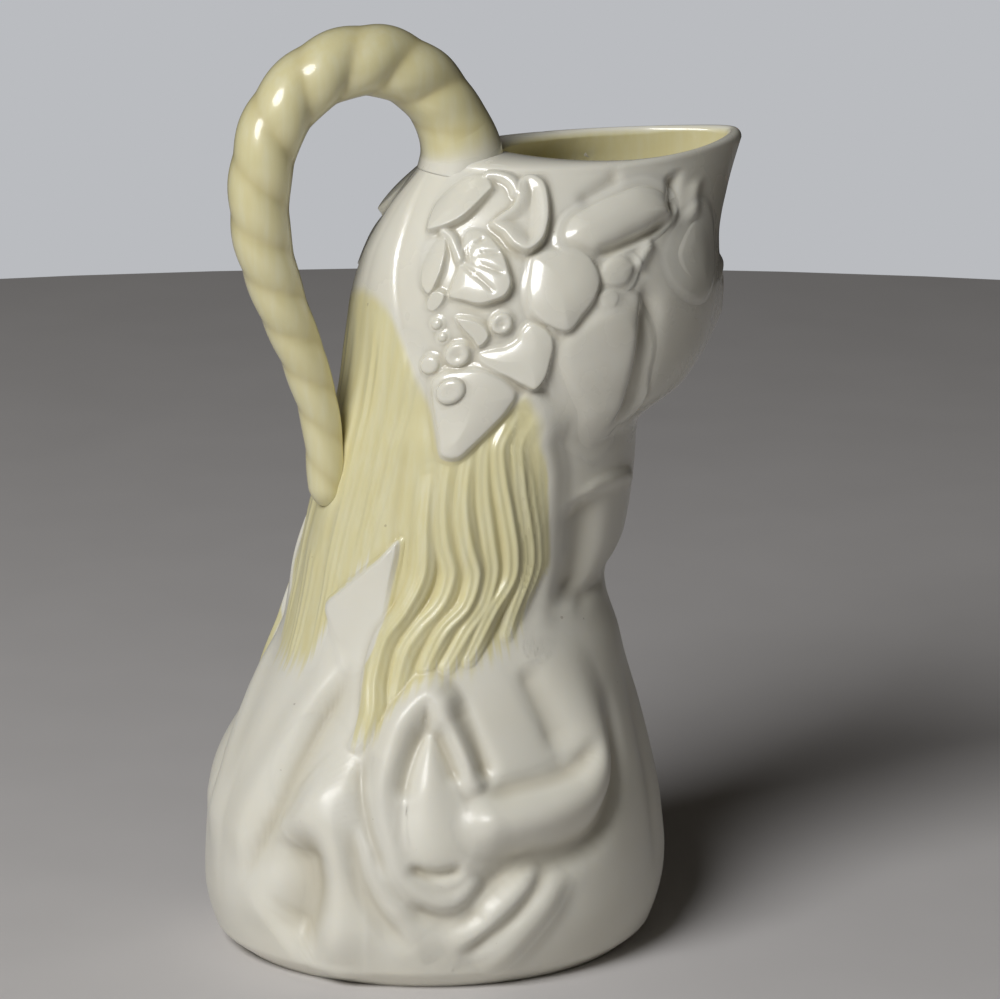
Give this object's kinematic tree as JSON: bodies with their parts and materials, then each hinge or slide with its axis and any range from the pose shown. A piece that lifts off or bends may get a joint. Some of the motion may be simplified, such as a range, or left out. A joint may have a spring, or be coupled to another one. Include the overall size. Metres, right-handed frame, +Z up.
{
  "type": "figural creamer",
  "caption": "Small glazed porcelain cream jug shaped as a bowed water maiden with an ivy wreath, long hair and robe, a pouring lip over the face and a twisted rope handle.",
  "frame": {"origin": "middle of the jug's bounding box, on the plane of the foot", "axes": "+Z up, +X towards the spout, the figure's right side towards -Y"},
  "size_m": [0.0857, 0.0691, 0.1374],
  "materials": {
    "ivory_glaze": "gloss",
    "yellow_glaze": "gloss"
  },
  "bodies": {
    "root": {"cast_body": "ivory_glaze", "rope_handle": "yellow_glaze", "face": "ivory_glaze", "right_ivy_leaf_1": "ivory_glaze", "right_ivy_leaf_2": "ivory_glaze", "right_ivy_leaf_3": "ivory_glaze", "right_ivy_leaf_4": "ivory_glaze", "right_ivy_leaf_5": "ivory_glaze", "right_ivy_leaf_6": "ivory_glaze", "right_ivy_leaf_7": "ivory_glaze", "right_ivy_leaf_8": "ivory_glaze", "right_ivy_leaf_9": "ivory_glaze", "right_brow_leaf": "ivory_glaze", "right_berry_1": "ivory_glaze", "right_berry_2": "ivory_glaze", "right_berry_3": "ivory_glaze", "right_side_lock_1": "yellow_glaze", "right_side_lock_2": "yellow_glaze", "right_side_lock_3": "yellow_glaze", "right_side_lock_4": "yellow_glaze", "right_side_lock_5": "yellow_glaze", "right_side_lock_6": "yellow_glaze", "right_temple_lock": "ivory_glaze", "right_shoulder_drape": "ivory_glaze", "right_knee": "ivory_glaze", "right_robe_sweep": "ivory_glaze", "left_ivy_leaf_1": "ivory_glaze", "left_ivy_leaf_2": "ivory_glaze", "left_ivy_leaf_3": "ivory_glaze", "left_ivy_leaf_4": "ivory_glaze", "left_ivy_leaf_5": "ivory_glaze", "left_ivy_leaf_6": "ivory_glaze", "left_ivy_leaf_7": "ivory_glaze", "left_ivy_leaf_8": "ivory_glaze", "left_ivy_leaf_9": "ivory_glaze", "left_brow_leaf": "ivory_glaze", "left_berry_1": "ivory_glaze", "left_berry_2": "ivory_glaze", "left_berry_3": "ivory_glaze", "left_side_lock_1": "yellow_glaze", "left_side_lock_2": "yellow_glaze", "left_side_lock_3": "yellow_glaze", "left_side_lock_4": "yellow_glaze", "left_side_lock_5": "yellow_glaze", "left_side_lock_6": "yellow_glaze", "left_temple_lock": "ivory_glaze", "left_shoulder_drape": "ivory_glaze", "left_knee": "ivory_glaze", "left_robe_sweep": "ivory_glaze", "back_lock_1": "yellow_glaze", "back_lock_2": "yellow_glaze", "back_lock_3": "yellow_glaze", "back_lock_4": "yellow_glaze", "back_lock_5": "yellow_glaze", "right_arm": "ivory_glaze", "left_arm": "ivory_glaze", "urn": "ivory_glaze", "sleeve_loop": "ivory_glaze", "robe_fall": "ivory_glaze"}
  },
  "joints": []
}
